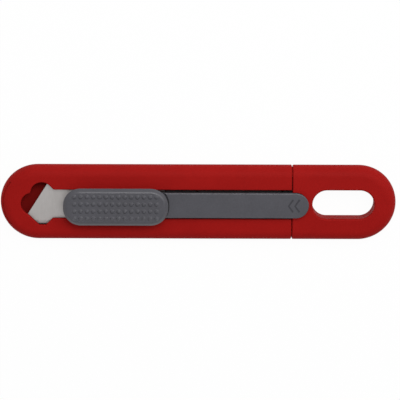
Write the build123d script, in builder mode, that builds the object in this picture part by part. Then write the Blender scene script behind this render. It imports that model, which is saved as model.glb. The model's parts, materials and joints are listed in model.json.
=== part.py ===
from build123d import *
from math import atan2, degrees, radians, sqrt, tan
import os

# Utility knife with a retractable trapezoid blade, lying on its flat back.
# X runs from the nose (minus) to the hanging loop (plus), Z is up through the thumb pad.
# Sizes are in millimetres, and the origin is under the middle of the body.

# Body
body_length = 181.0
side_wall = 5.2
top_round = 5.0
back_round = 2.0
face_crown = 0.4
roof_wall = 1.6
floor_wall = 1.6
split_lip = 0.3
nose_wall = 8.3
seam_gap = 0.3
seam_bevel = 0.4
lip_inset = 1.0
lip_length = 1.2
lip_wall = 0.8

# Blade
blade_length = 61.0
blade_height = 19.0
blade_thick = 0.6
blade_angle = 57.5
grind_width = 1.6
grind_depth = 0.25
notch_width = 2.6
notch_depth = 2.4
notch_spacing = 14.0

# Slot and window in the face
slot_gap = 0.65
slot_round = 0.5
window_radius = 5.2
window_setback = 14.8
window_lobe_step = 4.4
window_lobe_side = 4.9
window_half = 9.9
window_flat = 3.1
window_notch = 0.3
window_corner = 1.0

# Slider
travel = 22.0
strip_width = 12.2
strip_proud = 2.0
strip_round = 0.5
strip_tuck = 0.6
deck_proud = 0.1
plinth_rise = 1.7
plinth_gap = 0.5
tail_gap = 0.4
tail_wall = 1.2
tail_socket = 8.1
flange_thick = 1.0
keel_length = 10.0
keel_gap = 3.2
pawl_gap = 0.5
carrier_thick = 1.7
carrier_rim = 2.4
carrier_lip = 1.1
rim_rise = 0.55
magnet_radius = 3.0
magnet_thick = 1.0
leaf_thick = 0.3

# Thumb pad and lock
pad_length = 47.7
pad_width = 17.3
pad_corner = 8.0
pad_lap = 1.6
pad_lift = 1.2
pad_skirt = 3.4
pad_tuck = 1.6
pad_bevel = 1.6
pad_round = 1.6
bump_margin = 5.2
bump_side = 3.6
bump_clear = 0.15
bump_radius = 1.1
bump_rise = 0.6
bump_root = 0.2
bump_taper = 48.0
pad_roof = 2.2
pad_wall = 1.8
press_depth = 0.8
pawl_length = 4.0
pawl_thick = 0.9
shoe_length = 2.0
shoe_step = 0.45
shoe_clear = 0.05
stem_width = 8.0
post_radius = 1.5
spring_radius = 2.0
spring_wire = 0.6

# End cap and spare blade tray
hole_length = 28.2
hole_width = 13.4
hole_setback = 10.1
hole_round = 0.8
tray_floor = 0.5
tray_wall = 0.8
root_lap = 3.9
root_rise = 3.4
spare_count = 2
spare_gap = 0.05
leaf_length = 30.0
leaf_width = 8.0
cheek_length = 9.5
cheek_thick = 1.25

# Nose guide
guide_length = 4.4
guide_width = 16.0
guide_thick = 0.6

# Fasteners
screw_radius = 0.9
head_radius = 1.7
head_thick = 1.3
boss_inset = 2.2
boss_nose_gap = 30.5
boss_seam_gap = 17.9
drive_width = 0.5
drive_depth = 0.5

# Clearances
slide_gap = 0.2
stack_gap = 0.3
stop_gap = 0.6
side_gap = 0.25
fit_gap = 0.1
thread_gap = 0.02
end_gap = 1.0
over = 1.0

# Widths, from the blade outwards
carrier_width = blade_height + 2 * (fit_gap + carrier_rim)
channel_width = carrier_width + 2 * side_gap
body_width = channel_width + 2 * side_wall
end_radius = body_width / 2
slot_width = strip_width + 2 * slot_gap
neck_width = strip_width - 2 * strip_tuck
tray_width = blade_height + 2 * (fit_gap + tray_wall)
rail_inner = tray_width / 2 + side_gap
slit_width = blade_height + 4 * side_gap
pawl_width = blade_height - 2 * slide_gap
pawl_bay = pawl_width + 4 * side_gap
flange_width = pawl_width - 2 * stack_gap
shoe_side = slot_width / 2 + shoe_step
cheek_outer = channel_width / 2 - side_gap
lip_inner = channel_width / 2 + lip_wall
boss_side = channel_width / 2 + boss_inset
bump_foot = bump_radius + bump_root * tan(radians(bump_taper))
bump_pitch = 2 * bump_foot + bump_clear
bump_columns = 1 + int((pad_length - 2 * bump_margin) / bump_pitch)
bump_rows = 1 + int((pad_width - 2 * bump_side) / bump_pitch)
bump_step = (pad_length - 2 * bump_margin) / (bump_columns - 1)
bump_row_step = (pad_width - 2 * bump_side) / (bump_rows - 1)
pad_cavity_length = pad_length - 2 * (pad_tuck + pad_wall)
pad_cavity_width = pad_width - 2 * (pad_tuck + pad_wall)
pad_cavity_corner = pad_corner - pad_tuck - pad_wall

# Heights, as one stack from the back to the thumb pad
tray_bottom = floor_wall + slide_gap
spare_bottom = tray_bottom + tray_floor
spare_pitch = blade_thick + spare_gap
spare_top = spare_bottom + spare_count * spare_pitch
root_top = tray_bottom + root_rise
carrier_bottom = spare_top + stack_gap
rail_z = carrier_bottom - slide_gap
split_height = rail_z + split_lip
blade_bottom = carrier_bottom + carrier_thick
blade_top = blade_bottom + blade_thick
roof_z = blade_top + slide_gap
face_z = roof_z + roof_wall
shoe_rise = press_depth - shoe_clear
pawl_bottom = blade_top - pawl_thick
guide_top = blade_bottom - slide_gap
guide_bottom = guide_top - guide_thick
strip_bottom = blade_top + slide_gap
pocket_floor = strip_bottom - slide_gap
strip_top = face_z + strip_proud
deck_top = face_z + deck_proud
plinth_top = deck_top + plinth_rise
pad_bottom = face_z + pad_lift
pad_rim = pad_bottom + pad_skirt
pad_top = pad_rim + pad_bevel
pad_ceiling = pad_top - pad_roof

# Places along the knife, from the nose
half_length = body_length / 2
straight = body_length - body_width
nose_x = -half_length
window_x = nose_x + window_setback
notch_reach = (window_radius - window_notch) / sqrt(2)
lobe_x = window_x + window_lobe_step
lobe_reach = window_radius / sqrt(2)
lobe_slot_x = lobe_x + 2 * lobe_reach + window_lobe_side - slot_width / 2
flat_x = window_x + window_half - 2 * notch_reach
slot_x = flat_x + window_flat + window_half - slot_width / 2
waist_x = lobe_x - sqrt(window_radius ** 2 - (strip_width / 2 - window_lobe_side) ** 2)
strip_front = waist_x + travel + side_gap
channel_front = nose_x + nose_wall
carrier_front = channel_front + stop_gap + travel
blade_tip = carrier_front + carrier_lip - (blade_length - notch_spacing - notch_width) / 2
blade_back = blade_tip + blade_length
blade_run = blade_height / tan(radians(blade_angle))
pawl_x = blade_back + pawl_gap + pawl_length / 2
pad_back = pawl_x + pawl_length / 2 + pad_lap
pad_middle = pad_back - pad_length / 2
keel_front = pawl_x + pawl_length / 2 + keel_gap
keel_back = keel_front + keel_length
carrier_back = keel_back + end_gap
flange_front = carrier_back + end_gap

# Places along the knife, from the loop
hole_front = half_length - hole_setback - hole_length
pocket_end = hole_front - tail_wall
tail_x = pocket_end - tail_gap
tail_middle = tail_x - strip_width / 2
pocket_radius = neck_width / 2 + side_gap
seam_x = pocket_end - tail_socket
tray_back = pocket_end - end_gap
root_front = seam_x - root_lap
flange_back = root_front - end_gap
tray_front = root_front - blade_length - 2 * fit_gap - tray_wall

# Face crown: one large arc that the rounded edge meets smoothly
crown_reach = end_radius - top_round
crown_radius = (crown_reach ** 2 + face_crown ** 2) / (2 * face_crown)
crown_z = face_z - crown_radius
round_z = crown_z + sqrt((crown_radius - top_round) ** 2 - crown_reach ** 2)
round_angle = degrees(atan2(round_z - crown_z, crown_reach))


def half_section():
    # right half of the body's cross-section, drawn in the current sketch
    with BuildLine() as rim:
        Line((0, 0), (end_radius - back_round, 0))
        CenterArc((end_radius - back_round, back_round), back_round, -90, 90)
        Line((end_radius, back_round), (end_radius, round_z))
        CenterArc((crown_reach, round_z), top_round, 0, round_angle)
        CenterArc((0, crown_z), crown_radius, round_angle, 90 - round_angle)
        Line((0, face_z), (0, 0))
    make_face(rim.edges())


def body_form():
    # the whole body as one solid: a straight run and two round ends
    with BuildSketch(Plane.YZ.offset(-straight / 2)) as section:
        half_section()
        mirror(about=Plane.YZ)
    extrude(section.sketch, amount=straight)
    for end in (-straight / 2, straight / 2):
        with BuildSketch(Plane((end, 0, 0), x_dir=(1, 0, 0), z_dir=(0, -1, 0))) as half:
            half_section()
        revolve(half.sketch, axis=Axis((end, 0, 0), (0, 0, 1)))


def wall_lip(x0, x1, inset, inner, mode=Mode.ADD):
    # the body's outline drawn in by inset, in the two side walls only
    with BuildSketch(Plane.YZ.offset(x0)) as section:
        half_section()
        mirror(about=Plane.YZ)
        offset(amount=-inset)
        Rectangle(2 * inner, 2 * face_z, mode=Mode.SUBTRACT)
    extrude(section.sketch, amount=x1 - x0, mode=mode)


def block(x0, x1, y0, y1, z0, z1, mode=Mode.ADD):
    # upright box between two corners
    with BuildSketch(Plane.XY.offset(z0)) as base:
        with Locations(((x0 + x1) / 2, (y0 + y1) / 2)):
            Rectangle(x1 - x0, y1 - y0)
    extrude(base.sketch, amount=z1 - z0, mode=mode)


def wide_block(x0, x1, width, z0, z1, mode=Mode.ADD):
    # upright box centred across the knife
    block(x0, x1, -width / 2, width / 2, z0, z1, mode)


def side_blocks(x0, x1, inner, outer, z0, z1, mode=Mode.ADD):
    # the same upright box on both sides of the knife
    block(x0, x1, inner, outer, z0, z1, mode)
    block(x0, x1, -outer, -inner, z0, z1, mode)


def posts(places, radius, z0, z1, mode=Mode.ADD):
    # upright round posts, or holes for them
    with BuildSketch(Plane.XY.offset(z0)) as base:
        with Locations(*places):
            Circle(radius)
    extrude(base.sketch, amount=z1 - z0, mode=mode)


def blade_outline(tip):
    # trapezoid blade with its point at tip, and two notches in the short edge
    edge = blade_height / 2
    with BuildLine() as rim:
        Polyline(
            (tip, -edge),
            (tip + blade_length, -edge),
            (tip + blade_length - blade_run, edge),
            (tip + blade_run, edge),
            close=True,
        )
    make_face(rim.edges())
    with Locations(*notch_places(tip)):
        Rectangle(notch_width, 2 * notch_depth, mode=Mode.SUBTRACT)


def notch_places(tip):
    middle = tip + blade_length / 2
    return [(middle + side * notch_spacing / 2, blade_height / 2) for side in (-1, 1)]


def trapezoid_blade(tip, bottom):
    # one blade, ground thin along its long edge on both faces
    with BuildSketch(Plane.XY.offset(bottom)) as plate:
        blade_outline(tip)
    extrude(plate.sketch, amount=blade_thick)
    edge = -blade_height / 2
    for face_height, side in ((bottom, 1), (bottom + blade_thick, -1)):
        with BuildSketch(Plane.YZ.offset(tip - over)) as grind:
            with BuildLine():
                Polyline(
                    (edge, face_height),
                    (edge + grind_width, face_height),
                    (edge, face_height + side * grind_depth),
                    close=True,
                )
            make_face()
        extrude(grind.sketch, amount=blade_length + 2 * over, mode=Mode.SUBTRACT)


def sunk_screw(place, bottom, top):
    # countersunk screw, pointing up, with a straight slot in its head
    with BuildSketch(Plane((*place, 0), x_dir=(1, 0, 0), z_dir=(0, -1, 0))) as half:
        with BuildLine():
            Polyline(
                (0, bottom),
                (head_radius, bottom),
                (screw_radius, bottom + head_radius - screw_radius),
                (screw_radius, top),
                (0, top),
                close=True,
            )
        make_face()
    revolve(half.sketch, axis=Axis((*place, 0), (0, 0, 1)))
    with BuildSketch(Plane.XY.offset(bottom)) as drive:
        with Locations(place):
            Rectangle(drive_width, 2 * head_radius)
    extrude(drive.sketch, amount=drive_depth, mode=Mode.SUBTRACT)


def sunk_seat(place, bottom, top):
    # clearance hole for a countersunk screw
    with BuildSketch(Plane((*place, 0), x_dir=(1, 0, 0), z_dir=(0, -1, 0))) as half:
        with BuildLine():
            Polyline(
                (0, bottom - over),
                (head_radius + thread_gap, bottom - over),
                (head_radius + thread_gap, bottom),
                (screw_radius + thread_gap, bottom + head_radius - screw_radius),
                (screw_radius + thread_gap, top),
                (0, top),
                close=True,
            )
        make_face()
    revolve(half.sketch, axis=Axis((*place, 0), (0, 0, 1)), mode=Mode.SUBTRACT)


def tongue_outline(width):
    # the strip from under the pad to its round tail
    with Locations(((pad_middle + tail_middle) / 2, 0)):
        Rectangle(tail_middle - pad_middle, width)
    with Locations((tail_middle, 0)):
        Circle(width / 2)


def pad_outline(grow=0.0):
    with Locations((pad_middle, 0)):
        RectangleRounded(pad_length + 2 * grow, pad_width + 2 * grow, pad_corner + grow)


def upper_rim(new_edges):
    # the edges of a cut that lie in the face
    flat = new_edges.filter_by(Axis.Z, reverse=True)
    return flat.filter_by(lambda edge: edge.center().Z > (roof_z + face_z) / 2)


def save(piece, name):
    piece.part.label = name
    export_step(piece.part, "parts/" + name + ".step")


os.makedirs("parts", exist_ok=True)

boss_rows = (nose_x + boss_nose_gap, seam_x - boss_seam_gap)
screw_places = [(x, side * boss_side) for x in boss_rows for side in (-1, 1)]
screw_top = roof_z - over
keel_screws = [(keel_front + keel_length * share, 0) for share in (0.3, 0.7)]
tray_screws_at = [((seam_x + tray_back) / 2, side * tray_width / 4) for side in (-1, 1)]
post_place = (strip_front + 3 * post_radius, 0)
spring_places = [(post_place[0] + (pawl_x - post_place[0]) * share, 0) for share in (0.3, 0.7)]
magnet_place = (carrier_front + 3 * magnet_radius, 0)
pawl_place = (pawl_x, 0)

# Top shell: face, slot, window, blade slit and the two tracks of the lock
with BuildPart() as top_shell:
    body_form()
    split(bisect_by=Plane.YZ.offset(seam_x - seam_gap / 2), keep=Keep.BOTTOM)
    chamfer(faces().sort_by(Axis.X)[-1].edges(), length=seam_bevel)
    split(bisect_by=Plane.XY.offset(split_height), keep=Keep.TOP)
    wide_block(channel_front, seam_x + over, channel_width, split_height - over, roof_z, Mode.SUBTRACT)
    with BuildSketch(Plane.XY.offset(roof_z - over)):
        with Locations((window_x, 0), (lobe_x, window_lobe_side)):
            Circle(window_radius)
        with BuildLine():
            Polyline(
                (window_x, 0),
                (lobe_x, window_lobe_side),
                (lobe_x + lobe_reach, window_lobe_side + lobe_reach),
                (lobe_slot_x, slot_width / 2),
                (slot_x, -slot_width / 2),
                (flat_x + window_flat, -window_half),
                (flat_x, -window_half),
                (window_x - notch_reach, -notch_reach),
                close=True,
            )
        make_face()
        with Locations(((window_x + seam_x) / 2 + over, 0)):
            Rectangle(seam_x - window_x, slot_width)
        smooth_height = window_lobe_side + lobe_reach
        sharp = vertices().filter_by(lambda point: abs(point.Y - smooth_height) > fit_gap)
        fillet(sharp, radius=window_corner)
    extrude(amount=roof_wall + 2 * over, mode=Mode.SUBTRACT)
    fillet(upper_rim(edges(Select.LAST)), radius=slot_round)
    wide_block(nose_x - over, channel_front + over, slit_width, guide_top, roof_z, Mode.SUBTRACT)
    track_reach = shoe_length / 2 + stop_gap
    side_blocks(
        pawl_x - travel - track_reach, pawl_x + track_reach,
        slot_width / 2 - over, pawl_width / 2 + side_gap,
        roof_z - over, blade_top + shoe_rise + slide_gap, Mode.SUBTRACT,
    )
    wide_block(
        channel_front - guide_length, channel_front, guide_width + 2 * fit_gap,
        split_height - over, guide_top, Mode.SUBTRACT,
    )
    posts(screw_places, screw_radius + thread_gap, split_height - over, screw_top + fit_gap, Mode.SUBTRACT)
    wall_lip(
        seam_x - lip_length - stack_gap, seam_x + over, lip_inset - side_gap, lip_inner - side_gap,
        Mode.SUBTRACT,
    )
save(top_shell, "top_shell")

# Back shell: flat back, two rails for the carrier and the seat of the nose guide
with BuildPart() as back_shell:
    body_form()
    split(bisect_by=Plane.YZ.offset(seam_x - seam_gap / 2), keep=Keep.BOTTOM)
    chamfer(faces().sort_by(Axis.X)[-1].edges(), length=seam_bevel)
    split(bisect_by=Plane.XY.offset(split_height), keep=Keep.BOTTOM)
    wide_block(channel_front, seam_x + over, 2 * rail_inner, floor_wall, split_height + over, Mode.SUBTRACT)
    wide_block(channel_front, seam_x + over, channel_width, rail_z, split_height + over, Mode.SUBTRACT)
    wide_block(
        channel_front - guide_length + fit_gap, channel_front, guide_width,
        split_height - over, guide_bottom,
    )
    posts(screw_places, screw_radius + thread_gap, 0, split_height + over, Mode.SUBTRACT)
    posts(screw_places, head_radius + fit_gap, 0, head_thick + fit_gap, Mode.SUBTRACT)
    wall_lip(
        seam_x - lip_length - stack_gap, seam_x + over, lip_inset - side_gap, lip_inner - side_gap,
        Mode.SUBTRACT,
    )
save(back_shell, "back_shell")

# Steel guide plate under the blade slit
with BuildPart() as nose_guide:
    wide_block(
        channel_front - guide_length + fit_gap, channel_front, guide_width,
        guide_bottom, guide_top - fit_gap,
    )
save(nose_guide, "nose_guide")

# Four screws that close the two shells, from the back
with BuildPart() as shell_screws:
    posts(screw_places, head_radius, fit_gap, head_thick + fit_gap)
    posts(screw_places, screw_radius, head_thick, screw_top)
    with BuildSketch(Plane.XY.offset(fit_gap)):
        with Locations(*screw_places):
            Rectangle(drive_width, 3 * head_radius / 2)
            Rectangle(3 * head_radius / 2, drive_width)
    extrude(amount=drive_depth, mode=Mode.SUBTRACT)
save(shell_screws, "shell_screws")

# Slider strip: deck under the pad, long tongue, keel and guide flange under the roof
with BuildPart() as slider_strip:
    strip_flare = degrees(atan2(strip_tuck, strip_top - deck_top))
    with BuildSketch(Plane.XY.offset(strip_top)):
        tongue_outline(strip_width)
    extrude(amount=deck_top - strip_top, taper=strip_flare)
    fillet(faces().sort_by(Axis.Z)[-1].edges(), radius=strip_round)
    with BuildSketch(Plane.XY.offset(strip_bottom)):
        tongue_outline(neck_width)
    extrude(amount=deck_top - strip_bottom)
    with BuildSketch(Plane.XY.offset(deck_top)):
        pad_outline(2 * side_gap)
    extrude(amount=strip_top - deck_top + over, mode=Mode.SUBTRACT)
    wide_block(strip_front, pad_back, neck_width, strip_bottom, deck_top)
    plinth_reach = pad_cavity_length / 2 - plinth_gap
    plinth_front = max(strip_front, pad_middle - plinth_reach)
    plinth_back = pad_middle + plinth_reach
    with BuildSketch(Plane.XY.offset(deck_top)):
        with Locations(((plinth_front + plinth_back) / 2, 0)):
            RectangleRounded(
                plinth_back - plinth_front, pad_cavity_width - 2 * plinth_gap,
                pad_cavity_corner - plinth_gap,
            )
    extrude(amount=plinth_rise)
    wide_block(keel_front, keel_back, neck_width, blade_bottom, strip_bottom)
    wide_block(flange_front, flange_back, neck_width, blade_top - flange_thick, strip_bottom)
    wide_block(flange_front, flange_back, flange_width, blade_top - flange_thick, blade_top)
    wide_block(
        pawl_x - pawl_length / 2 - side_gap, pawl_x + pawl_length / 2 + side_gap,
        stem_width + 2 * side_gap, strip_bottom - over, plinth_top + over, Mode.SUBTRACT,
    )
    posts([post_place], post_radius + side_gap, strip_bottom - over, plinth_top + over, Mode.SUBTRACT)
    posts(
        keel_screws, screw_radius + thread_gap, blade_bottom - over, deck_top - 2 * fit_gap, Mode.SUBTRACT,
    )
save(slider_strip, "slider_strip")

# Blade carrier: a plate with a rim round the blade, lugs in its notches and a bay for the pawl
with BuildPart() as blade_carrier:
    bay_half = pawl_length / 2 + 2 * side_gap
    wide_block(carrier_front, carrier_back, carrier_width, carrier_bottom, blade_bottom)
    side_blocks(
        carrier_front, pawl_x - bay_half - end_gap, blade_height / 2 + fit_gap, carrier_width / 2,
        blade_bottom, blade_bottom + rim_rise,
    )
    for notch in notch_places(blade_tip):
        half = notch_width / 2 - fit_gap
        block(
            notch[0] - half, notch[0] + half, blade_height / 2 - notch_depth + fit_gap,
            blade_height / 2 + carrier_rim, blade_bottom, blade_bottom + rim_rise,
        )
    wide_block(
        pawl_x - bay_half, pawl_x + bay_half, pawl_bay,
        carrier_bottom - over, blade_top + over, Mode.SUBTRACT,
    )
    posts(
        [magnet_place], magnet_radius + fit_gap / 2, blade_bottom - magnet_thick - fit_gap, blade_top,
        Mode.SUBTRACT,
    )
    side_blocks(
        magnet_place[0], magnet_place[0] + leaf_length / 2, rail_inner, carrier_width / 2 - fit_gap,
        carrier_bottom - over, carrier_bottom + leaf_thick / 2, Mode.SUBTRACT,
    )
    for screw in keel_screws:
        sunk_seat(screw, carrier_bottom, blade_bottom + over)
save(blade_carrier, "blade_carrier")

# Working blade
with BuildPart() as blade:
    trapezoid_blade(blade_tip, blade_bottom)
save(blade, "blade")

# Disc magnet that keeps the blade seated
with BuildPart() as blade_magnet:
    posts([magnet_place], magnet_radius, blade_bottom - magnet_thick - fit_gap, blade_bottom - fit_gap)
save(blade_magnet, "blade_magnet")

# Two flat springs under the carrier that take up play on the rails
with BuildPart() as glide_springs:
    side_blocks(
        magnet_place[0] + fit_gap, magnet_place[0] + leaf_length / 2 - fit_gap,
        rail_inner + fit_gap, carrier_width / 2 - 2 * fit_gap,
        carrier_bottom + leaf_thick / 2 - leaf_thick, carrier_bottom + leaf_thick / 2,
    )
save(glide_springs, "glide_springs")

# Two screws that join the carrier to the strip, from below
with BuildPart() as carrier_screws:
    for screw in keel_screws:
        sunk_screw(screw, carrier_bottom, deck_top - 4 * fit_gap)
save(carrier_screws, "carrier_screws")

# Thumb button: flared pad, hollow below, with a lock stem and a guide post
with BuildPart() as thumb_button:
    flare = degrees(atan2(pad_tuck, pad_skirt))
    with BuildSketch(Plane.XY.offset(pad_rim)):
        pad_outline()
    extrude(amount=pad_bevel)
    chamfer(faces().sort_by(Axis.Z)[-1].edges(), length=pad_bevel - fit_gap)
    fillet(faces().sort_by(Axis.Z)[-1].edges(), radius=pad_round)
    with BuildSketch(Plane.XY.offset(pad_top - bump_root)):
        with Locations((pad_middle, 0)):
            with GridLocations(bump_step, bump_row_step, bump_columns, bump_rows):
                Circle(bump_foot)
    extrude(amount=bump_root + bump_rise, taper=bump_taper)
    with BuildSketch(Plane.XY.offset(pad_rim)):
        pad_outline()
    extrude(amount=-pad_skirt, taper=flare)
    with BuildSketch(Plane.XY.offset(pad_bottom)):
        with Locations((pad_middle, 0)):
            RectangleRounded(pad_cavity_length, pad_cavity_width, pad_cavity_corner)
    extrude(amount=pad_ceiling - pad_bottom, mode=Mode.SUBTRACT)
    wide_block(pawl_x - pawl_length / 2, pawl_x + pawl_length / 2, stem_width, blade_top, pad_ceiling)
    posts([post_place], post_radius, blade_top + press_depth + 2 * slide_gap, pad_ceiling)
    posts([pawl_place], screw_radius + thread_gap, blade_top, pad_rim, Mode.SUBTRACT)
save(thumb_button, "thumb_button")

# Two coil springs under the pad, shown as plain sleeves because the pad hides them
with BuildPart() as button_springs:
    posts(spring_places, spring_radius, plinth_top, pad_ceiling)
    posts(spring_places, spring_radius - spring_wire, plinth_top, pad_ceiling, Mode.SUBTRACT)
save(button_springs, "button_springs")

# Lock pawl: a bar under the stem, with a brake shoe on each side of the slot
with BuildPart() as lock_pawl:
    wide_block(pawl_x - pawl_length / 2, pawl_x + pawl_length / 2, pawl_width, pawl_bottom, blade_top)
    side_blocks(
        pawl_x - shoe_length / 2, pawl_x + shoe_length / 2, shoe_side, pawl_width / 2,
        blade_top, blade_top + shoe_rise,
    )
    sunk_seat(pawl_place, pawl_bottom, blade_top + over)
save(lock_pawl, "lock_pawl")

# Screw that holds the pawl to the stem
with BuildPart() as pawl_screw:
    sunk_screw(pawl_place, pawl_bottom, pad_rim - fit_gap)
save(pawl_screw, "pawl_screw")

# End cap: hanging loop, pocket for the tongue, bay for the tray, two cheeks and two seam lips
with BuildPart() as end_cap:
    body_form()
    split(bisect_by=Plane.YZ.offset(seam_x + seam_gap / 2), keep=Keep.TOP)
    chamfer(faces().sort_by(Axis.X)[0].edges(), length=seam_bevel)
    with BuildSketch(Plane.XY.offset(-over)):
        with Locations((hole_front + hole_length / 2, 0)):
            SlotOverall(hole_length, hole_width)
    extrude(amount=face_z + 2 * over, mode=Mode.SUBTRACT)
    fillet(edges(Select.LAST).filter_by(Axis.Z, reverse=True), radius=hole_round)
    with BuildSketch(Plane.XY.offset(pocket_floor)):
        with Locations((tail_middle, 0)):
            Circle(pocket_radius)
            Rectangle(2 * tail_socket, 2 * pocket_radius, align=(Align.MAX, Align.CENTER))
    extrude(amount=face_z - pocket_floor + over, mode=Mode.SUBTRACT)
    wide_block(
        seam_x - over, tray_back + fit_gap, tray_width + 2 * fit_gap, tray_bottom, root_top + fit_gap,
        Mode.SUBTRACT,
    )
    side_blocks(
        seam_x - cheek_length, seam_x + over, cheek_outer - cheek_thick, cheek_outer,
        rail_z + slide_gap, blade_top,
    )
    side_blocks(
        seam_x - cheek_length + end_gap, seam_x - end_gap, cheek_outer - slide_gap, cheek_outer + over,
        rail_z, roof_z, Mode.SUBTRACT,
    )
    wall_lip(seam_x - lip_length, seam_x + over, lip_inset, lip_inner)
    for screw in tray_screws_at:
        sunk_seat(screw, 0, tray_bottom + over)
save(end_cap, "end_cap")

# Spare blade tray that slides under the carrier, with its root in the cap
with BuildPart() as blade_tray:
    wide_block(tray_front, tray_back, tray_width, tray_bottom, spare_bottom)
    side_blocks(
        tray_front, root_front, blade_height / 2 + fit_gap, tray_width / 2, spare_bottom, spare_top,
    )
    wide_block(tray_front, tray_front + tray_wall, tray_width, spare_bottom, spare_top)
    wide_block(root_front, tray_back, tray_width, tray_bottom, root_top)
    wide_block(
        root_front - over, root_front + leaf_length / 8, leaf_width, spare_top, spare_top + leaf_thick,
        Mode.SUBTRACT,
    )
    posts(
        tray_screws_at, screw_radius + thread_gap, tray_bottom - over, root_top - 2 * fit_gap,
        Mode.SUBTRACT,
    )
save(blade_tray, "blade_tray")

# Spare blades in the tray
with BuildPart() as spare_blades:
    spare_tip = tray_front + tray_wall + fit_gap
    for layer in range(spare_count):
        trapezoid_blade(spare_tip, spare_bottom + layer * spare_pitch)
save(spare_blades, "spare_blades")

# Flat spring that holds the spare blades down
with BuildPart() as tray_leaf:
    wide_block(
        root_front + leaf_length / 8 - leaf_length, root_front + leaf_length / 8, leaf_width,
        spare_top, spare_top + leaf_thick,
    )
save(tray_leaf, "tray_leaf")

# Two screws that hold the tray in the cap, from the back
with BuildPart() as tray_screws:
    for screw in tray_screws_at:
        sunk_screw(screw, 0, root_top - 4 * fit_gap)
save(tray_screws, "tray_screws")

# Two flat springs on the cheeks that grip the channel
with BuildPart() as cap_springs:
    side_blocks(
        seam_x - cheek_length + end_gap + fit_gap, seam_x - end_gap - fit_gap,
        cheek_outer - slide_gap, cheek_outer + fit_gap, rail_z + 2 * slide_gap, blade_top - slide_gap,
    )
save(cap_springs, "cap_springs")
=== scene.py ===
import json
import math

import bpy
from mathutils import Matrix, Vector


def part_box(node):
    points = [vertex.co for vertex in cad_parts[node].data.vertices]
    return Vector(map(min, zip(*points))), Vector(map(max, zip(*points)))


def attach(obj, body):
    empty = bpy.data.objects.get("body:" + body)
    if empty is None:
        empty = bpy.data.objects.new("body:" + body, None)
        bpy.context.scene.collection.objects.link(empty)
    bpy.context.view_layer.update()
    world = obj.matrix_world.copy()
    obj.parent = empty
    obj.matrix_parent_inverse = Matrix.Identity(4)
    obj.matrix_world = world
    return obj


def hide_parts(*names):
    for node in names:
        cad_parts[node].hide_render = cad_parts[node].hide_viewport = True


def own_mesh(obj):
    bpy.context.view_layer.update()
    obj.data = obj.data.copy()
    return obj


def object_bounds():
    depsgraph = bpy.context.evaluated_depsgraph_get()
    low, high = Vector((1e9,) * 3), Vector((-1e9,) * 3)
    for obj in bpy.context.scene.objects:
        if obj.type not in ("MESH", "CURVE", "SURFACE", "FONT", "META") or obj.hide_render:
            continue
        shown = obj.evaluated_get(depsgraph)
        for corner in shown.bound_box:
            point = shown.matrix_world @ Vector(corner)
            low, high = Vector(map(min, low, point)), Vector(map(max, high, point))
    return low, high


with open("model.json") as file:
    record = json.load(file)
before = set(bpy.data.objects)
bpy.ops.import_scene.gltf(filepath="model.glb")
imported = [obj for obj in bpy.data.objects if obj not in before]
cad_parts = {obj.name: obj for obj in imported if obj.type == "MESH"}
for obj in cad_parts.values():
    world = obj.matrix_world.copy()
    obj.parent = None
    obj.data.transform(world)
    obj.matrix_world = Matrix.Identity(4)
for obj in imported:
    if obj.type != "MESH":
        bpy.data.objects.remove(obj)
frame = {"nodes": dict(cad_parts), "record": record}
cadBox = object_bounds()
nodes = frame["nodes"]
mm = 0.001
print("frame loaded:", len(nodes), "nodes")


# small helpers for node trees

def addNode(tree, kind, **settings):
    node = tree.nodes.new(kind)
    for name, value in settings.items():
        setattr(node, name, value)
    return node


def setInputs(node, **values):
    for name, value in values.items():
        node.inputs[name.replace("_", " ")].default_value = value
    return node


def mathNode(tree, operation, first, second=None, clamp=False):
    node = addNode(tree, "ShaderNodeMath", operation=operation, use_clamp=clamp)
    for socket, value in zip(node.inputs, (first, second)):
        if value is None:
            continue
        if isinstance(value, (int, float)):
            socket.default_value = value
        else:
            tree.links.new(value, socket)
    return node.outputs[0]


def mixColour(tree, blend, factor, first, second):
    node = addNode(tree, "ShaderNodeMix", data_type="RGBA", blend_type=blend)
    sockets = (node.inputs[0], node.inputs[6], node.inputs[7])  # the factor and the two colours
    for socket, value in zip(sockets, (factor, first, second)):
        if isinstance(value, tuple):
            socket.default_value = value
        else:
            tree.links.new(value, socket)
    return node.outputs[2]


def shaderGroup(name, inputs, outputs):
    tree = bpy.data.node_groups.new(name, "ShaderNodeTree")
    for label, kind, start in inputs:
        socket = tree.interface.new_socket(name=label, in_out="INPUT", socket_type=kind)
        if start is not None:
            socket.default_value = start
    for label, kind in outputs:
        tree.interface.new_socket(name=label, in_out="OUTPUT", socket_type=kind)
    return tree, tree.nodes.new("NodeGroupInput"), tree.nodes.new("NodeGroupOutput")


def noise(tree, vector, scale, detail, roughness):
    node = setInputs(addNode(tree, "ShaderNodeTexNoise"), Detail=detail, Roughness=roughness)
    tree.links.new(vector, node.inputs["Vector"])
    if isinstance(scale, (int, float)):
        node.inputs["Scale"].default_value = scale
    else:
        tree.links.new(scale, node.inputs["Scale"])
    return node.outputs["Fac"]


# shader groups that several finishes share

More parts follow.
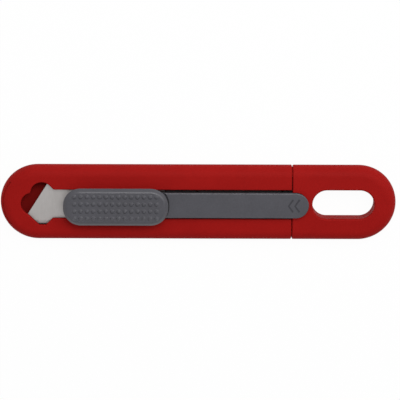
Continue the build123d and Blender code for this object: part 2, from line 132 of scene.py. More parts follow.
def makeMouldedGrain():
    # fine moulded texture: slow cloudy patches, and a spark-eroded grain
    look = {"patchDetail": 3.0, "patchRough": 0.55, "fineDetail": 2.0, "fineRough": 0.6,
            "fineShare": 0.6, "cellShare": 0.4}
    tree, goesIn, comesOut = shaderGroup(
        "mouldedGrain",
        [("Vector", "NodeSocketVector", None), ("Patch Scale", "NodeSocketFloat", 90.0),
         ("Grain Scale", "NodeSocketFloat", 1600.0)],
        [("Patches", "NodeSocketFloat"), ("Grain", "NodeSocketFloat")],
    )
    place, grainScale = goesIn.outputs["Vector"], goesIn.outputs["Grain Scale"]
    patches = noise(tree, place, goesIn.outputs["Patch Scale"], look["patchDetail"], look["patchRough"])
    fine = noise(tree, place, grainScale, look["fineDetail"], look["fineRough"])
    cells = addNode(tree, "ShaderNodeTexVoronoi", feature="SMOOTH_F1")
    tree.links.new(place, cells.inputs["Vector"])
    tree.links.new(grainScale, cells.inputs["Scale"])
    grain = mathNode(tree, "ADD", mathNode(tree, "MULTIPLY", fine, look["fineShare"]),
                     mathNode(tree, "MULTIPLY", cells.outputs["Distance"], look["cellShare"]))
    tree.links.new(patches, comesOut.inputs["Patches"])
    tree.links.new(grain, comesOut.inputs["Grain"])
    return tree


def makeEdgeWear():
    # a mask that is 1 on rubbed edges, broken up by noise
    look = {"samples": 4, "sharpness": 6.0, "breakDetail": 3.0, "breakRough": 0.6}
    tree, goesIn, comesOut = shaderGroup(
        "edgeWear",
        [("Vector", "NodeSocketVector", None), ("Width", "NodeSocketFloat", 0.4 * mm),
         ("Break Scale", "NodeSocketFloat", 400.0)],
        [("Mask", "NodeSocketFloat")],
    )
    rounded = addNode(tree, "ShaderNodeBevel", samples=look["samples"])
    tree.links.new(goesIn.outputs["Width"], rounded.inputs["Radius"])
    surface = addNode(tree, "ShaderNodeNewGeometry")
    turn = addNode(tree, "ShaderNodeVectorMath", operation="DOT_PRODUCT")
    tree.links.new(rounded.outputs["Normal"], turn.inputs[0])
    tree.links.new(surface.outputs["Normal"], turn.inputs[1])
    bend = mathNode(tree, "SUBTRACT", 1.0, turn.outputs["Value"])
    bent = mathNode(tree, "MULTIPLY", bend, look["sharpness"], True)
    broken = noise(tree, goesIn.outputs["Vector"], goesIn.outputs["Break Scale"],
                   look["breakDetail"], look["breakRough"])
    tree.links.new(mathNode(tree, "MULTIPLY", bent, broken, True), comesOut.inputs["Mask"])
    return tree


def makeBrushedLines():
    # long thin streaks along one direction, for ground, rolled and plated metal
    look = {"lineScale": 1.0, "lineDetail": 4.0, "lineRough": 0.7,
            "smudgeScale": 140.0, "smudgeDetail": 3.0, "smudgeRough": 0.6}
    tree, goesIn, comesOut = shaderGroup(
        "brushedLines",
        [("Vector", "NodeSocketVector", None), ("Stretch", "NodeSocketVector", (1.0, 1.0, 1.0))],
        [("Lines", "NodeSocketFloat"), ("Smudge", "NodeSocketFloat")],
    )
    stretched = addNode(tree, "ShaderNodeVectorMath", operation="MULTIPLY")
    tree.links.new(goesIn.outputs["Vector"], stretched.inputs[0])
    tree.links.new(goesIn.outputs["Stretch"], stretched.inputs[1])
    lines = noise(tree, stretched.outputs[0], look["lineScale"], look["lineDetail"], look["lineRough"])
    smudge = noise(tree, goesIn.outputs["Vector"], look["smudgeScale"],
                   look["smudgeDetail"], look["smudgeRough"])
    tree.links.new(lines, comesOut.inputs["Lines"])
    tree.links.new(smudge, comesOut.inputs["Smudge"])
    return tree


def makeInnerShadeAndDust():
    # a mask that is 1 deep inside the body and 0 on every outer face; it paints shade in the hollows
    # inside, with some dust
    limits = {"Low": 0.5 * mm, "High": 7.75 * mm, "Crown": 2.6, "Side": 12.6 * mm,
              "Front": -83.8 * mm, "Nose": -73.0 * mm, "Back": 51.5 * mm, "Fade": 1.2 * mm}
    inputs = [("Vector", "NodeSocketVector", None)]
    inputs += [(name, "NodeSocketFloat", limit) for name, limit in limits.items()]
    tree, goesIn, comesOut = shaderGroup("innerShadeAndDust", inputs, [("Mask", "NodeSocketFloat")])
    axes = addNode(tree, "ShaderNodeSeparateXYZ")
    tree.links.new(goesIn.outputs["Vector"], axes.inputs[0])
    x, y, z = axes.outputs
    limit = goesIn.outputs
    # round the nose the side is a radius, and the face falls with its crown
    ahead = mathNode(tree, "MAXIMUM", mathNode(tree, "SUBTRACT", limit["Nose"], x), 0.0)
    squares = mathNode(tree, "ADD", mathNode(tree, "POWER", ahead, 2.0), mathNode(tree, "MULTIPLY", y, y))
    aside = mathNode(tree, "SQRT", squares)
    fall = mathNode(tree, "MULTIPLY", squares, limit["Crown"])
    face = mathNode(tree, "SUBTRACT", limit["High"], fall)
    depths = (
        mathNode(tree, "SUBTRACT", z, limit["Low"]),
        mathNode(tree, "SUBTRACT", face, z),
        mathNode(tree, "SUBTRACT", limit["Side"], aside),
        mathNode(tree, "SUBTRACT", x, limit["Front"]),
        mathNode(tree, "SUBTRACT", limit["Back"], x),
    )
    least = depths[0]
    for depth in depths[1:]:
        least = mathNode(tree, "MINIMUM", least, depth)
    mask = mathNode(tree, "DIVIDE", least, limit["Fade"], True)
    tree.links.new(mask, comesOut.inputs["Mask"])
    return tree


mouldedGrain = makeMouldedGrain()
innerShadeAndDust = makeInnerShadeAndDust()
edgeWear = makeEdgeWear()
brushedLines = makeBrushedLines()


def placeGroup(tree, group, vector, **values):
    node = addNode(tree, "ShaderNodeGroup", node_tree=group)
    tree.links.new(vector, node.inputs["Vector"])
    return setInputs(node, **values)


def startMaterial(name):
    material = bpy.data.materials.new(name)
    material.use_nodes = True
    tree = material.node_tree
    surface = tree.nodes["Principled BSDF"]
    place = addNode(tree, "ShaderNodeTexCoord").outputs["Object"]
    return material, tree, surface, place


noiseReach = (0.25, 0.75)  # nearly all of a noise's values lie between these


def spread(tree, value, low, high):
    node = addNode(tree, "ShaderNodeMapRange")
    tree.links.new(value, node.inputs["Value"])
    setInputs(node, From_Min=noiseReach[0], From_Max=noiseReach[1], To_Min=low, To_Max=high)
    return node.outputs["Result"]


def wornShare(tree, place, look):
    wear = placeGroup(tree, edgeWear, place, Width=look["wearWidth"])
    return mathNode(tree, "MULTIPLY", wear.outputs["Mask"], look["wear"])


# painted shade deep inside the body, with some dust
def shadeAndDustShare(tree, place, look):
    inside = placeGroup(tree, innerShadeAndDust, place)
    return mathNode(tree, "MULTIPLY", inside.outputs["Mask"], look["dustAndShade"])


def addBump(tree, surface, height, strength, distance):
    bump = setInputs(addNode(tree, "ShaderNodeBump"), Strength=strength, Distance=distance)
    tree.links.new(height, bump.inputs["Height"])
    tree.links.new(bump.outputs["Normal"], surface.inputs["Normal"])


# finishes

def plasticFinish(name, look):
    material, tree, surface, place = startMaterial(name)
    grain = placeGroup(tree, mouldedGrain, place,
                       Patch_Scale=look["patchScale"], Grain_Scale=look["grainScale"])
    patches, fine = grain.outputs["Patches"], grain.outputs["Grain"]
    patchy = mixColour(tree, "MIX", spread(tree, patches, 0.0, 1.0), look["dark"], look["light"])
    speckle = mixColour(tree, "MIX", spread(tree, fine, 0.0, look["speckle"]), patchy, look["fleck"])
    rubbed = mixColour(tree, "MIX", wornShare(tree, place, look), speckle, look["rubbed"])
    # painted shade deep inside the body, with some dust: darker colour and a rougher surface there
    dustAndShade = shadeAndDustShare(tree, place, look)
    dustyAndShaded = mixColour(tree, "MULTIPLY", dustAndShade, rubbed, look["dustAndShadeTint"])
    dulled = mathNode(tree, "ADD", spread(tree, patches, *look["roughness"]), dustAndShade, True)
    tree.links.new(dustyAndShaded, surface.inputs["Base Color"])
    tree.links.new(dulled, surface.inputs["Roughness"])
    setInputs(surface, Specular_IOR_Level=look["specular"])
    addBump(tree, surface, fine, look["bump"], look["bumpDepth"])
    return material


def metalFinish(name, look):
    material, tree, surface, place = startMaterial(name)
    lines = placeGroup(tree, brushedLines, place, Stretch=look["stretch"])
    streaks, smudge = lines.outputs["Lines"], lines.outputs["Smudge"]
    streaked = mixColour(tree, "MIX", spread(tree, streaks, 0.0, 1.0), look["dark"], look["light"])
    smudged = mixColour(tree, "MIX", spread(tree, smudge, 0.0, look["smudge"]), streaked, look["stain"])
    bright = mixColour(tree, "MIX", wornShare(tree, place, look), smudged, look["rubbed"])
    # painted shade deep inside the body, with some dust: darker colour there
    dustyAndShaded = mixColour(tree, "MULTIPLY", shadeAndDustShare(tree, place, look), bright, look["dustAndShadeTint"])
    tree.links.new(dustyAndShaded, surface.inputs["Base Color"])
    tree.links.new(spread(tree, smudge, *look["roughness"]), surface.inputs["Roughness"])
    setInputs(surface, Metallic=look["metal"])
    addBump(tree, surface, streaks, look["bump"], look["bumpDepth"])
    return material


# each look's tint for deep inside the body is painted shade in the hollows, with some dust on the metal
# parts
redLook = {
    "dark": (0.268, 0.0066, 0.0058, 1), "light": (0.312, 0.0082, 0.0070, 1),
    "fleck": (0.345, 0.0115, 0.0098, 1), "rubbed": (0.36, 0.018, 0.015, 1),
    "patchScale": 70.0, "grainScale": 1500.0, "speckle": 0.35,
    "wear": 0.3, "wearWidth": 0.3 * mm, "roughness": (0.48, 0.58), "specular": 0.03,
    "bump": 0.25, "bumpDepth": 0.05 * mm, "dustAndShade": 0.85, "dustAndShadeTint": (0.60, 0.95, 0.95, 1),
}
# inside the body the grey is painted near black with a red cast: painted shade in the slot gap
greyLook = {
    "dark": (0.041, 0.040, 0.049, 1), "light": (0.052, 0.051, 0.062, 1),
    "fleck": (0.078, 0.077, 0.090, 1), "rubbed": (0.15, 0.15, 0.16, 1),
    "patchScale": 110.0, "grainScale": 1300.0, "speckle": 0.4,
    "wear": 0.6, "wearWidth": 0.4 * mm, "roughness": (0.29, 0.37), "specular": 0.46,
    "bump": 0.3, "bumpDepth": 0.06 * mm, "dustAndShade": 0.95, "dustAndShadeTint": (0.10, 0.045, 0.04, 1),
}
nylonLook = {
    "dark": (0.016, 0.016, 0.018, 1), "light": (0.024, 0.024, 0.026, 1),
    "fleck": (0.035, 0.035, 0.038, 1), "rubbed": (0.06, 0.06, 0.064, 1),
    "patchScale": 120.0, "grainScale": 1800.0, "speckle": 0.3,
    "wear": 0.4, "wearWidth": 0.25 * mm, "roughness": (0.5, 0.62), "specular": 0.3,
    "bump": 0.2, "bumpDepth": 0.04 * mm, "dustAndShade": 0.5, "dustAndShadeTint": (0.8, 0.75, 0.7, 1),
}
# darker grey for the tail chevrons: painted shade, as in engraved marks
shadedMarkLook = {
    "dark": (0.034, 0.033, 0.040, 1), "light": (0.042, 0.041, 0.049, 1),
    "fleck": (0.055, 0.054, 0.062, 1), "rubbed": (0.10, 0.10, 0.11, 1),
    "patchScale": 200.0, "grainScale": 1800.0, "speckle": 0.3,
    "wear": 0.3, "wearWidth": 0.08 * mm, "roughness": (0.5, 0.6), "specular": 0.2,
    "bump": 0.2, "bumpDepth": 0.03 * mm, "dustAndShade": 0.0, "dustAndShadeTint": (1, 1, 1, 1),
}
bladeLook = {
    "metal": 0.6, "dustAndShade": 0.0, "dustAndShadeTint": (1, 1, 1, 1),
    "dark": (0.352, 0.336, 0.328, 1), "light": (0.430, 0.411, 0.402, 1),
    "stain": (0.29, 0.272, 0.262, 1), "rubbed": (0.6, 0.59, 0.57, 1),
    "stretch": (5000.0, 260.0, 600.0), "smudge": 0.35,
    "wear": 0.5, "wearWidth": 0.12 * mm, "roughness": (0.36, 0.48),
    "bump": 0.08, "bumpDepth": 0.02 * mm,
}
oiledLook = {
    "metal": 0.9, "dustAndShade": 0.9, "dustAndShadeTint": (0.16, 0.13, 0.11, 1),
    "dark": (0.26, 0.25, 0.24, 1), "light": (0.34, 0.33, 0.315, 1),
    "stain": (0.2, 0.18, 0.15, 1), "rubbed": (0.45, 0.44, 0.42, 1),
    "stretch": (5000.0, 260.0, 600.0), "smudge": 0.5,
    "wear": 0.4, "wearWidth": 0.12 * mm, "roughness": (0.28, 0.42),
    "bump": 0.08, "bumpDepth": 0.02 * mm,
}
springLook = {
    "metal": 1.0, "dustAndShade": 0.9, "dustAndShadeTint": (0.12, 0.09, 0.08, 1),
    "dark": (0.30, 0.30, 0.31, 1), "light": (0.44, 0.44, 0.45, 1),
    "stain": (0.25, 0.23, 0.21, 1), "rubbed": (0.6, 0.6, 0.6, 1),
    "stretch": (300.0, 4000.0, 4000.0), "smudge": 0.3,
    "wear": 0.5, "wearWidth": 0.1 * mm, "roughness": (0.28, 0.4),
    "bump": 0.08, "bumpDepth": 0.02 * mm,
}
zincLook = {
    "metal": 1.0, "dustAndShade": 0.9, "dustAndShadeTint": (0.12, 0.09, 0.08, 1),
    "dark": (0.38, 0.385, 0.39, 1), "light": (0.5, 0.505, 0.51, 1),
    "stain": (0.3, 0.29, 0.26, 1), "rubbed": (0.68, 0.68, 0.67, 1),
    "stretch": (1500.0, 1500.0, 1500.0), "smudge": 0.35,
    "wear": 0.6, "wearWidth": 0.15 * mm, "roughness": (0.26, 0.42),
    "bump": 0.06, "bumpDepth": 0.02 * mm,
}
nickelLook = {
    "metal": 1.0, "dustAndShade": 0.9, "dustAndShadeTint": (0.12, 0.09, 0.08, 1),
    "dark": (0.52, 0.5, 0.47, 1), "light": (0.62, 0.6, 0.57, 1),
    "stain": (0.45, 0.42, 0.38, 1), "rubbed": (0.7, 0.7, 0.68, 1),
    "stretch": (900.0, 900.0, 900.0), "smudge": 0.25,
    "wear": 0.3, "wearWidth": 0.1 * mm, "roughness": (0.12, 0.22),
    "bump": 0.04, "bumpDepth": 0.01 * mm,
}

redPlastic = plasticFinish("redPlastic", redLook)
greyPlastic = plasticFinish("greyPlastic", greyLook)
blackNylon = plasticFinish("blackNylon", nylonLook)
shadedMarkGrey = plasticFinish("shadedMarkGrey", shadedMarkLook)
groundSteel = metalFinish("groundSteel", bladeLook)
oiledSteel = metalFinish("oiledSteel", oiledLook)
springSteel = metalFinish("springSteel", springLook)
zincSteel = metalFinish("zincSteel", zincLook)
nickelPlate = metalFinish("nickelPlate", nickelLook)

finishOf = {
    "red_plastic": redPlastic, "grey_plastic": greyPlastic, "dark_nylon": blackNylon,
    "blade_steel": groundSteel, "spring_steel": springSteel, "screw_steel": zincSteel,
    "magnet_nickel": nickelPlate,
}


def dressNodes():
    slotOf = {part["node"]: part["material_slot"] for part in frame["record"]["subparts"]}
    for name, node in nodes.items():
        finish = oiledSteel if name == "spare_blades" else finishOf[slotOf[name]]
        for slot in node.material_slots:
            slot.material = finish


dressNodes()
print("finishes on", len(nodes), "nodes")


# geometry node trees

def geometryTree(name, inputs):
    tree = bpy.data.node_groups.new(name, "GeometryNodeTree")
    for label, kind in inputs:
        tree.interface.new_socket(name=label, in_out="INPUT", socket_type=kind)
    tree.interface.new_socket(name="Geometry", in_out="OUTPUT", socket_type="NodeSocketGeometry")
    return tree, tree.nodes.new("NodeGroupInput"), tree.nodes.new("NodeGroupOutput")


def endTree(tree, goesIn, comesOut, geometry, isSmooth=False):
    real = addNode(tree, "GeometryNodeRealizeInstances")
    smooth = addNode(tree, "GeometryNodeSetShadeSmooth")
    painted = addNode(tree, "GeometryNodeSetMaterial")
    tree.links.new(geometry, real.inputs[0])
    tree.links.new(real.outputs[0], smooth.inputs[0])
    smooth.inputs["Shade Smooth"].default_value = isSmooth
    tree.links.new(smooth.outputs[0], painted.inputs[0])
    tree.links.new(goesIn.outputs["Material"], painted.inputs["Material"])
    tree.links.new(painted.outputs[0], comesOut.inputs[0])


def runTree(name, tree, values):
    # the tree's result as a plain mesh object at the origin
    holder = bpy.data.objects.new(name + "Tree", bpy.data.meshes.new(name + "Tree"))
    bpy.context.scene.collection.objects.link(holder)
    modifier = holder.modifiers.new("tree", "NODES")
    modifier.node_group = tree
    for item in tree.interface.items_tree:
        if item.in_out == "INPUT":
            modifier[item.identifier] = values[item.name]
    depsgraph = bpy.context.evaluated_depsgraph_get()
    mesh = bpy.data.meshes.new_from_object(holder.evaluated_get(depsgraph))
    bpy.data.objects.remove(holder)
    piece = bpy.data.objects.new(name, mesh)
    bpy.context.scene.collection.objects.link(piece)
    return piece


# coil springs under the thumb pad

def makeCoilTree(turnSteps, wireSides):
    tree, goesIn, comesOut = geometryTree("coilSpring", [
        ("Coil Radius", "NodeSocketFloat"), ("Wire Radius", "NodeSocketFloat"),
        ("Rise", "NodeSocketFloat"), ("Turns", "NodeSocketFloat"),
        ("First Place", "NodeSocketVector"), ("Step", "NodeSocketVector"),
        ("Count", "NodeSocketInt"), ("Material", "NodeSocketMaterial"),
    ])
    spiral = addNode(tree, "GeometryNodeCurveSpiral")
    spiral.inputs["Resolution"].default_value = turnSteps
    tree.links.new(goesIn.outputs["Turns"], spiral.inputs["Rotations"])
    tree.links.new(goesIn.outputs["Coil Radius"], spiral.inputs["Start Radius"])
    tree.links.new(goesIn.outputs["Coil Radius"], spiral.inputs["End Radius"])
    tree.links.new(goesIn.outputs["Rise"], spiral.inputs["Height"])
    wire = addNode(tree, "GeometryNodeCurvePrimitiveCircle")
    wire.inputs["Resolution"].default_value = wireSides
    tree.links.new(goesIn.outputs["Wire Radius"], wire.inputs["Radius"])
    tube = addNode(tree, "GeometryNodeCurveToMesh")
    tube.inputs["Fill Caps"].default_value = True
    tree.links.new(spiral.outputs[0], tube.inputs["Curve"])
    tree.links.new(wire.outputs[0], tube.inputs["Profile Curve"])
    places = addNode(tree, "GeometryNodeMeshLine")
    tree.links.new(goesIn.outputs["Count"], places.inputs["Count"])
    tree.links.new(goesIn.outputs["First Place"], places.inputs["Start Location"])
    tree.links.new(goesIn.outputs["Step"], places.inputs["Offset"])
    copies = addNode(tree, "GeometryNodeInstanceOnPoints")
    tree.links.new(places.outputs[0], copies.inputs["Points"])
    tree.links.new(tube.outputs[0], copies.inputs["Instance"])
    endTree(tree, goesIn, comesOut, copies.outputs[0], isSmooth=True)
    return tree


def makeCoils():
    look = {"wireRadius": 0.21 * mm, "turns": 3.5, "count": 2, "pressed": 0.8 * mm,
            "turnSteps": 28, "wireSides": 10}
    low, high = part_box("button_springs")
    outer = (high.y - low.y) / 2
    rise = high.z - low.z
    piece = runTree("padCoils", makeCoilTree(look["turnSteps"], look["wireSides"]), {
        "Coil Radius": outer - look["wireRadius"], "Wire Radius": look["wireRadius"],
        "Rise": rise - 2 * look["wireRadius"], "Turns": look["turns"], "Count": look["count"],
        "First Place": (low.x + outer, 0.0, low.z + look["wireRadius"]),
        "Step": (high.x - low.x - 2 * outer, 0.0, 0.0), "Material": springSteel,
    })
    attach(piece, "slider")
    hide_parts("button_springs")
    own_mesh(piece)
    print("pad coils:", len(piece.data.polygons), "faces")


# closing screws on the back

def makeScrewTree(headSides, shankSides, rows):
    tree, goesIn, comesOut = geometryTree("closingScrew", [
        ("Head Radius", "NodeSocketFloat"), ("Head Depth", "NodeSocketFloat"),
        ("Rim", "NodeSocketFloat"), ("Rim Scale", "NodeSocketFloat"),
        ("Shank Radius", "NodeSocketFloat"), ("Shank Length", "NodeSocketFloat"),
        ("Drive Size", "NodeSocketVector"), ("Drive Turned", "NodeSocketVector"),
        ("First Place", "NodeSocketVector"), ("Step X", "NodeSocketFloat"),
        ("Step Y", "NodeSocketFloat"), ("Material", "NodeSocketMaterial"),
    ])

    def minus(socket):
        return mathNode(tree, "MULTIPLY", socket, -1.0)

    def along(height):
        node = addNode(tree, "ShaderNodeCombineXYZ")
        tree.links.new(height, node.inputs["Z"])
        return node.outputs[0]

    def extrudeFace(mesh, selection, height):
        node = addNode(tree, "GeometryNodeExtrudeMesh", mode="FACES")
        node.inputs["Individual"].default_value = False
        node.inputs["Offset Scale"].default_value = 1.0
        tree.links.new(mesh, node.inputs["Mesh"])
        if selection is not None:
            tree.links.new(selection, node.inputs["Selection"])
        tree.links.new(along(height), node.inputs["Offset"])
        return node

    disc = addNode(tree, "GeometryNodeMeshCircle", fill_type="NGON")
    disc.inputs["Vertices"].default_value = headSides
    tree.links.new(goesIn.outputs["Head Radius"], disc.inputs["Radius"])
    drum = extrudeFace(disc.outputs[0], None, minus(goesIn.outputs["Head Depth"]))
    rim = extrudeFace(drum.outputs["Mesh"], drum.outputs["Top"], minus(goesIn.outputs["Rim"]))
    crowned = addNode(tree, "GeometryNodeScaleElements", domain="FACE")
    tree.links.new(rim.outputs["Mesh"], crowned.inputs["Geometry"])
    tree.links.new(rim.outputs["Top"], crowned.inputs["Selection"])
    tree.links.new(goesIn.outputs["Rim Scale"], crowned.inputs["Scale"])
    cross = addNode(tree, "GeometryNodeJoinGeometry")
    for size in ("Drive Size", "Drive Turned"):
        bar = addNode(tree, "GeometryNodeMeshCube")
        tree.links.new(goesIn.outputs[size], bar.inputs["Size"])
        tree.links.new(bar.outputs[0], cross.inputs[0])
    lowered = addNode(tree, "GeometryNodeTransform")
    depth = mathNode(tree, "ADD", goesIn.outputs["Head Depth"], goesIn.outputs["Rim"])
    tree.links.new(cross.outputs[0], lowered.inputs["Geometry"])
    tree.links.new(along(minus(depth)), lowered.inputs["Translation"])
    cut = addNode(tree, "GeometryNodeMeshBoolean", operation="DIFFERENCE")
    tree.links.new(crowned.outputs[0], cut.inputs["Mesh 1"])
    tree.links.new(lowered.outputs[0], cut.inputs["Mesh 2"])
    shank = addNode(tree, "GeometryNodeMeshCylinder")
    shank.inputs["Vertices"].default_value = shankSides
    tree.links.new(goesIn.outputs["Shank Radius"], shank.inputs["Radius"])
    tree.links.new(goesIn.outputs["Shank Length"], shank.inputs["Depth"])
    half = mathNode(tree, "MULTIPLY", goesIn.outputs["Shank Length"], 0.5)
    raised = addNode(tree, "GeometryNodeTransform")
    tree.links.new(shank.outputs["Mesh"], raised.inputs["Geometry"])
    tree.links.new(along(half), raised.inputs["Translation"])
    whole = addNode(tree, "GeometryNodeJoinGeometry")
    tree.links.new(cut.outputs["Mesh"], whole.inputs[0])
    tree.links.new(raised.outputs[0], whole.inputs[0])
    places = addNode(tree, "GeometryNodeMeshGrid")
    places.inputs["Vertices X"].default_value = rows
    places.inputs["Vertices Y"].default_value = rows
    tree.links.new(goesIn.outputs["Step X"], places.inputs["Size X"])
    tree.links.new(goesIn.outputs["Step Y"], places.inputs["Size Y"])
    moved = addNode(tree, "GeometryNodeTransform")
    tree.links.new(places.outputs["Mesh"], moved.inputs["Geometry"])
    tree.links.new(goesIn.outputs["First Place"], moved.inputs["Translation"])
    copies = addNode(tree, "GeometryNodeInstanceOnPoints")
    tree.links.new(moved.outputs[0], copies.inputs["Points"])
    tree.links.new(whole.outputs[0], copies.inputs["Instance"])
    endTree(tree, goesIn, comesOut, copies.outputs[0])
    return tree


def makeScrews():
    look = {"headRadius": 1.7 * mm, "headDepth": 1.0 * mm, "rim": 0.25 * mm, "rimScale": 0.82,
            "shankRadius": 0.9 * mm, "bar": 0.5 * mm, "barLength": 2.3 * mm, "barDepth": 1.2 * mm,
            "headSides": 40, "shankSides": 24, "rows": 2}
    low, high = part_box("shell_screws")
    headTop = low.z + look["headDepth"] + look["rim"]
    tree = makeScrewTree(look["headSides"], look["shankSides"], look["rows"])
    piece = runTree("closingScrews", tree, {
        "Head Radius": look["headRadius"], "Head Depth": look["headDepth"], "Rim": look["rim"],
        "Rim Scale": look["rimScale"], "Shank Radius": look["shankRadius"],
        "Shank Length": high.z - headTop,
        "Drive Size": (look["bar"], look["barLength"], look["barDepth"]),
        "Drive Turned": (look["barLength"], look["bar"], look["barDepth"]),
        "First Place": ((low.x + high.x) / 2, (low.y + high.y) / 2, headTop),
        "Step X": high.x - low.x - 2 * look["headRadius"],
        "Step Y": high.y - low.y - 2 * look["headRadius"],
        "Material": zincSteel,
    })
    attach(piece, "handle")
    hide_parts("shell_screws")
    print("closing screws:", len(piece.data.polygons), "faces")


# two flat chevrons on the strip's tail, which point to the nose; their darker grey is painted shade, as
# in engraved marks

def makeChevronTree():
    tree, goesIn, comesOut = geometryTree("tailChevrons", [
        ("Reach", "NodeSocketFloat"), ("Half Height", "NodeSocketFloat"),
        ("Line Width", "NodeSocketFloat"), ("Rise", "NodeSocketFloat"),
        ("First Place", "NodeSocketVector"), ("Step", "NodeSocketVector"),
        ("Count", "NodeSocketInt"), ("Material", "NodeSocketMaterial"),
    ])
    corners, middle = 3, 1  # two ends, and the point between them
    line = addNode(tree, "GeometryNodeMeshLine")
    line.inputs["Count"].default_value = corners
    index = addNode(tree, "GeometryNodeInputIndex")
    fromPoint = mathNode(tree, "SUBTRACT", index.outputs[0], middle)
    back = mathNode(tree, "MULTIPLY", mathNode(tree, "ABSOLUTE", fromPoint), goesIn.outputs["Reach"])
    aside = mathNode(tree, "MULTIPLY", fromPoint, goesIn.outputs["Half Height"])
    corner = addNode(tree, "ShaderNodeCombineXYZ")
    tree.links.new(back, corner.inputs["X"])
    tree.links.new(aside, corner.inputs["Y"])
    bent = addNode(tree, "GeometryNodeSetPosition")
    tree.links.new(line.outputs[0], bent.inputs["Geometry"])
    tree.links.new(corner.outputs[0], bent.inputs["Position"])
    curve = addNode(tree, "GeometryNodeMeshToCurve")
    tree.links.new(bent.outputs[0], curve.inputs[0])
    section = addNode(tree, "GeometryNodeCurvePrimitiveQuadrilateral")
    tree.links.new(goesIn.outputs["Line Width"], section.inputs["Width"])
    tree.links.new(goesIn.outputs["Rise"], section.inputs["Height"])
    rib = addNode(tree, "GeometryNodeCurveToMesh")
    rib.inputs["Fill Caps"].default_value = True
    tree.links.new(curve.outputs[0], rib.inputs["Curve"])
    tree.links.new(section.outputs[0], rib.inputs["Profile Curve"])
    places = addNode(tree, "GeometryNodeMeshLine")
    tree.links.new(goesIn.outputs["Count"], places.inputs["Count"])
    tree.links.new(goesIn.outputs["First Place"], places.inputs["Start Location"])
    tree.links.new(goesIn.outputs["Step"], places.inputs["Offset"])
    copies = addNode(tree, "GeometryNodeInstanceOnPoints")
    tree.links.new(places.outputs[0], copies.inputs["Points"])
    tree.links.new(rib.outputs[0], copies.inputs["Instance"])
    endTree(tree, goesIn, comesOut, copies.outputs[0])
    return tree


def makeChevrons():
    look = {"reach": 2.0 * mm, "halfHeight": 2.9 * mm, "lineWidth": 0.8 * mm, "rise": 0.16 * mm,
            "fromTail": 9.2 * mm, "step": 2.9 * mm, "count": 2}
    low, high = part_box("slider_strip")
    piece = runTree("tailChevrons", makeChevronTree(), {
        "Reach": look["reach"], "Half Height": look["halfHeight"], "Line Width": look["lineWidth"],
        "Rise": look["rise"], "First Place": (high.x - look["fromTail"], 0.0, high.z),
        "Step": (look["step"], 0.0, 0.0), "Count": look["count"], "Material": shadedMarkGrey,
    })
    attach(piece, "slider")
    print("tail chevrons:", len(piece.data.polygons), "faces")


makeCoils()
makeScrews()
makeChevrons()


# floor, light and camera

def seenRays(tree):
    # 1 for what the camera sees, straight, in a gloss or through something clear
    rays = addNode(tree, "ShaderNodeLightPath")
    seen = mathNode(tree, "MAXIMUM", rays.outputs["Is Camera Ray"], rays.outputs["Is Glossy Ray"])
    return rays, mathNode(tree, "MAXIMUM", seen, rays.outputs["Is Transmission Ray"])


def makeFloor():
    look = {"half": 3.0, "drop": 0.3 * mm, "colour": (0.9, 0.9, 0.9, 1), "roughness": 0.9, "shine": 0.96,
            "shortBounce": 1.5 * mm}
    corners = [(-look["half"], -look["half"]), (look["half"], -look["half"]),
               (look["half"], look["half"]), (-look["half"], look["half"])]
    mesh = bpy.data.meshes.new("floor")
    mesh.from_pydata([(x, y, cadBox[0].z - look["drop"]) for x, y in corners], [], [(0, 1, 2, 3)])
    floor = bpy.data.objects.new("floor", mesh)
    bpy.context.scene.collection.objects.link(floor)
    material = bpy.data.materials.new("paleFloor")
    material.use_nodes = True
    tree = material.node_tree
    surface = tree.nodes["Principled BSDF"]
    setInputs(surface, Base_Color=look["colour"], Roughness=look["roughness"], Specular_IOR_Level=0.0)
    rays, seen = seenRays(tree)
    white = addNode(tree, "ShaderNodeEmission")
    clear = addNode(tree, "ShaderNodeBsdfTransparent")
    sides = addNode(tree, "ShaderNodeNewGeometry")
    lit = addNode(tree, "ShaderNodeMixShader")
    tree.links.new(mathNode(tree, "MULTIPLY", seen, look["shine"]), lit.inputs[0])
    tree.links.new(surface.outputs[0], lit.inputs[1])
    tree.links.new(white.outputs[0], lit.inputs[2])
    # short bounces pass, so that the back has light on it from below
    short = mathNode(tree, "LESS_THAN", rays.outputs["Ray Length"], look["shortBounce"])
    passes = mathNode(tree, "MULTIPLY", short, rays.outputs["Is Diffuse Ray"])
    oneSided = addNode(tree, "ShaderNodeMixShader")
    unseen = mathNode(tree, "MAXIMUM", sides.outputs["Backfacing"], passes)
    tree.links.new(unseen, oneSided.inputs[0])
    tree.links.new(lit.outputs[0], oneSided.inputs[1])
    tree.links.new(clear.outputs[0], oneSided.inputs[2])
    tree.links.new(oneSided.outputs[0], tree.nodes["Material Output"].inputs["Surface"])
    mesh.materials.append(material)


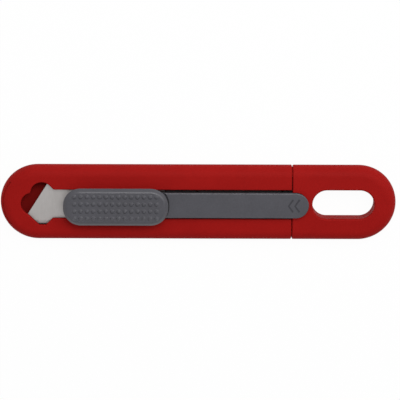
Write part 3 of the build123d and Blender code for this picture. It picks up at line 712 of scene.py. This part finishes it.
def makeWorld():
    look = {"ambient": 0.47, "seen": 1.0, "colour": (1, 1, 1, 1)}
    world = bpy.data.worlds.new("studio")
    bpy.context.scene.world = world
    world.use_nodes = True
    tree = world.node_tree
    seen = seenRays(tree)[1]
    extra = mathNode(tree, "MULTIPLY", seen, look["seen"] - look["ambient"])
    level = mathNode(tree, "ADD", extra, look["ambient"])
    background = tree.nodes["Background"]
    background.inputs["Color"].default_value = look["colour"]
    tree.links.new(level, background.inputs["Strength"])


def makeLamps():
    # a soft box above, a wide, faint panel beyond the top edge and a third off the loop end
    looks = {
        "softBox": {"place": (0.10, 0.47, 0.78), "size": (0.46, 0.40), "power": 3.3},
        "sidePanel": {"place": (0.00, 0.66, 0.50), "size": (1.20, 0.24), "power": 0.8},
        "endPanel": {"place": (0.60, 0.36, 0.52), "size": (0.56, 0.44), "power": 1.8},
    }
    for name, look in looks.items():
        light = bpy.data.lights.new(name, "AREA")
        light.shape = "RECTANGLE"
        light.size, light.size_y = look["size"]
        light.energy = look["power"]
        lamp = bpy.data.objects.new(name, light)
        lamp.location = look["place"]
        lamp.rotation_euler = Vector(look["place"]).to_track_quat("Z", "Y").to_euler()
        bpy.context.scene.collection.objects.link(lamp)


def makeCamera():
    look = {"tilt": 15.0, "roll": 0.17, "distance": 0.9, "lens": 176.9, "sensor": 36.0,
            "aimRight": 0.85 * mm, "aimUp": 1.12 * mm, "aimHeight": 4.0 * mm}
    tilt = math.radians(look["tilt"])
    right = Vector((1, 0, 0))
    up = Vector((0, math.cos(tilt), -math.sin(tilt)))
    back = right.cross(up)
    aim = Vector((0, 0, look["aimHeight"])) + right * look["aimRight"] + up * look["aimUp"]
    roll = Matrix.Rotation(math.radians(look["roll"]), 3, "Z")
    turned = Matrix((right, up, back)).transposed() @ roll
    lens = bpy.data.cameras.new("camera")
    lens.sensor_width = look["sensor"]
    lens.lens = look["lens"]
    camera = bpy.data.objects.new("camera", lens)
    camera.matrix_world = Matrix.Translation(aim + back * look["distance"]) @ turned.to_4x4()
    bpy.context.scene.collection.objects.link(camera)
    bpy.context.scene.camera = camera


makeFloor()
makeWorld()
makeLamps()
makeCamera()
bpy.context.scene.view_settings.view_transform = "Standard"
print("floor, light and camera set")
